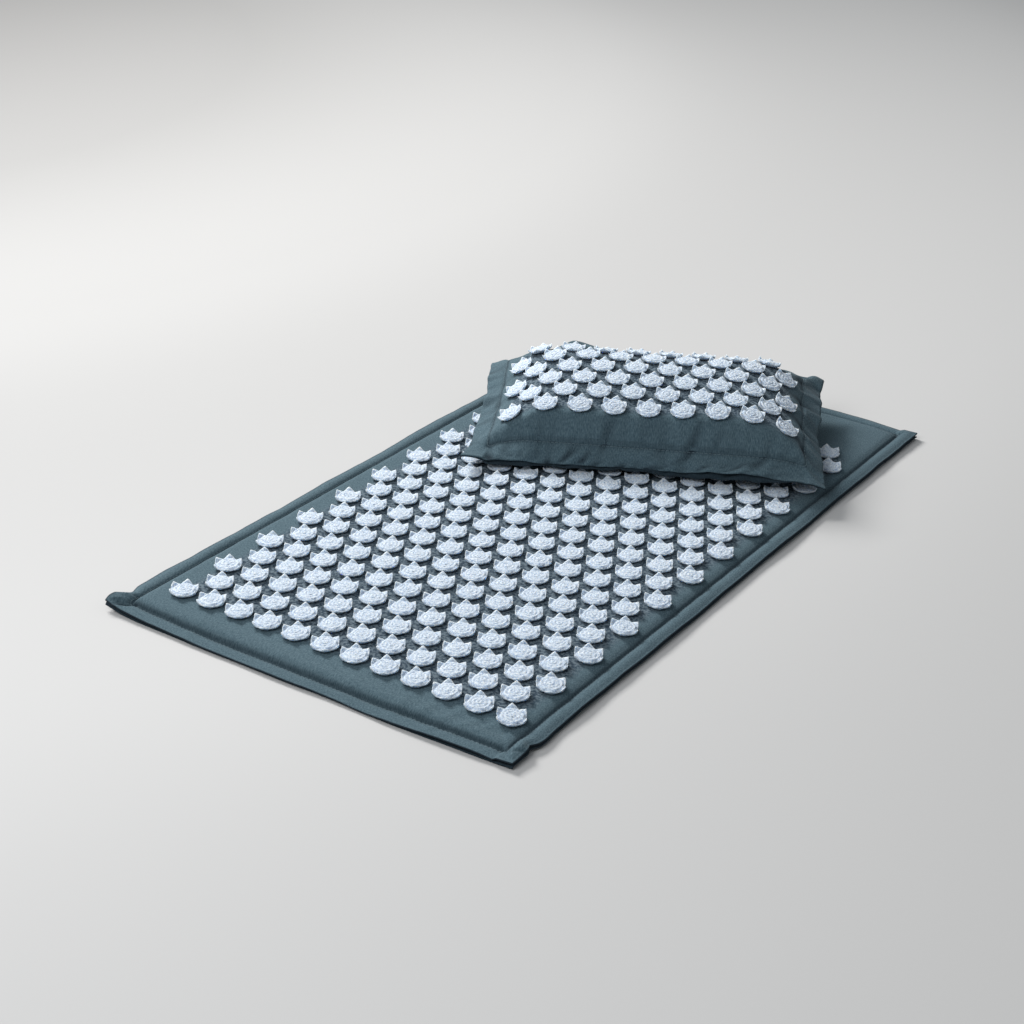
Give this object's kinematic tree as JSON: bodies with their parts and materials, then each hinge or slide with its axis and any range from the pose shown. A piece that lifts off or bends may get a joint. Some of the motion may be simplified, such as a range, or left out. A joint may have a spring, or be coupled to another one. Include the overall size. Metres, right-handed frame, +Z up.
{
  "type": "acupressure mat",
  "caption": "Flat padded mat with a flanged cotton cover, rows of moulded flower-shaped spike discs, an underside zip, and a matching spiked pillow lying across its head end.",
  "frame": {"origin": "centre of the mat's flat underside, on the floor", "axes": "+X across the mat, +Y along its length to the head end where the pillow lies, +Z up"},
  "size_m": [0.41, 0.76, 0.0902],
  "materials": {
    "cover_fabric": "plain-woven cotton, dark teal grey",
    "spike_plastic": "moulded plastic, pale blue white",
    "foam": "soft foam and fibre filling",
    "zip_tape": "woven tape",
    "zip_coil": "nylon coil",
    "zip_metal": "plated zinc",
    "thread": "sewing thread"
  },
  "bodies": {
    "mat": {"mat_top_panel": "cover_fabric", "mat_base_panel_foot": "cover_fabric", "mat_base_panel_head": "cover_fabric", "mat_topstitch": "thread", "mat_foam_core": "foam", "mat_zip_tape_foot": "zip_tape", "mat_zip_tape_head": "zip_tape", "mat_zip_coil_foot": "zip_coil", "mat_zip_coil_head": "zip_coil", "mat_zip_stop_closed": "zip_metal", "mat_zip_stop_open": "zip_metal", "mat_spike_row_01": "spike_plastic", "mat_spike_row_02": "spike_plastic", "mat_spike_row_03": "spike_plastic", "mat_spike_row_04": "spike_plastic", "mat_spike_row_05": "spike_plastic", "mat_spike_row_06": "spike_plastic", "mat_spike_row_07": "spike_plastic", "mat_spike_row_08": "spike_plastic", "mat_spike_row_09": "spike_plastic", "mat_spike_row_10": "spike_plastic", "mat_spike_row_11": "spike_plastic", "mat_spike_row_12": "spike_plastic", "mat_spike_row_13": "spike_plastic", "mat_spike_row_14": "spike_plastic", "mat_spike_row_15": "spike_plastic", "mat_spike_row_16": "spike_plastic", "mat_spike_row_17": "spike_plastic", "mat_spike_row_18": "spike_plastic", "mat_spike_row_19": "spike_plastic", "mat_spike_row_20": "spike_plastic", "mat_spike_row_21": "spike_plastic", "mat_spike_row_22": "spike_plastic"},
    "zip_slider": {"mat_zip_slider": "zip_metal"},
    "zip_pull": {"mat_zip_pull": "zip_metal"},
    "pillow": {"pillow_top_panel": "cover_fabric", "pillow_base_panel": "cover_fabric", "pillow_topstitch": "thread", "pillow_filling": "foam", "pillow_spike_row_01": "spike_plastic", "pillow_spike_row_02": "spike_plastic", "pillow_spike_row_03": "spike_plastic", "pillow_spike_row_04": "spike_plastic", "pillow_spike_row_05": "spike_plastic", "pillow_spike_row_06": "spike_plastic"}
  },
  "joints": [
    {"name": "pillow_lift", "type": "slide", "parent": "mat", "child": "pillow", "axis": [0, 0, 1], "range_m": [0, 0.15]},
    {"name": "zip_travel", "type": "slide", "parent": "mat", "child": "zip_slider", "axis": [-1, 0, 0], "range_m": [0, 0.2754]},
    {"name": "zip_pull_hinge", "type": "hinge", "parent": "zip_slider", "child": "zip_pull", "pos_m": [0.1377, 0.3, 0.00162], "axis": [0, -1, 0], "range_deg": [0, 180]}
  ]
}
